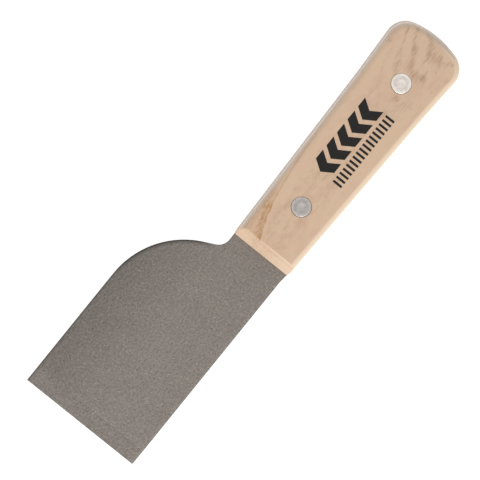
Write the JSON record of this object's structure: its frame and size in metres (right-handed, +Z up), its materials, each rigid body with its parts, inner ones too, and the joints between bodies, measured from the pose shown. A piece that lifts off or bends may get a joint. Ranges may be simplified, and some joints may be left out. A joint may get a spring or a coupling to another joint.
{
  "type": "floor scraper",
  "caption": "Hand-held floor scraper: a flat steel blade, bevelled at its edge and shouldered on one side, on a flat riveted wooden handle.",
  "frame": {"origin": "middle of the handle's underside, on the face that the tool rests on", "axes": "+X along the tool from the scraping edge to the butt of the handle, +Y to the side where the blade is wider than the handle, +Z up through the bevelled face"},
  "size_m": [0.2324, 0.0641, 0.018],
  "materials": {
    "blade_steel": "blasted, matt warm grey",
    "handle_wood": "satin, pale straight grain",
    "rivet_metal": "satin, lightly polished"
  },
  "bodies": {
    "root": {"blade": "blade_steel", "top_scale": "handle_wood", "bottom_scale": "handle_wood", "front_rivet_stud": "rivet_metal", "front_rivet_socket": "rivet_metal", "rear_rivet_stud": "rivet_metal", "rear_rivet_socket": "rivet_metal"}
  },
  "joints": []
}
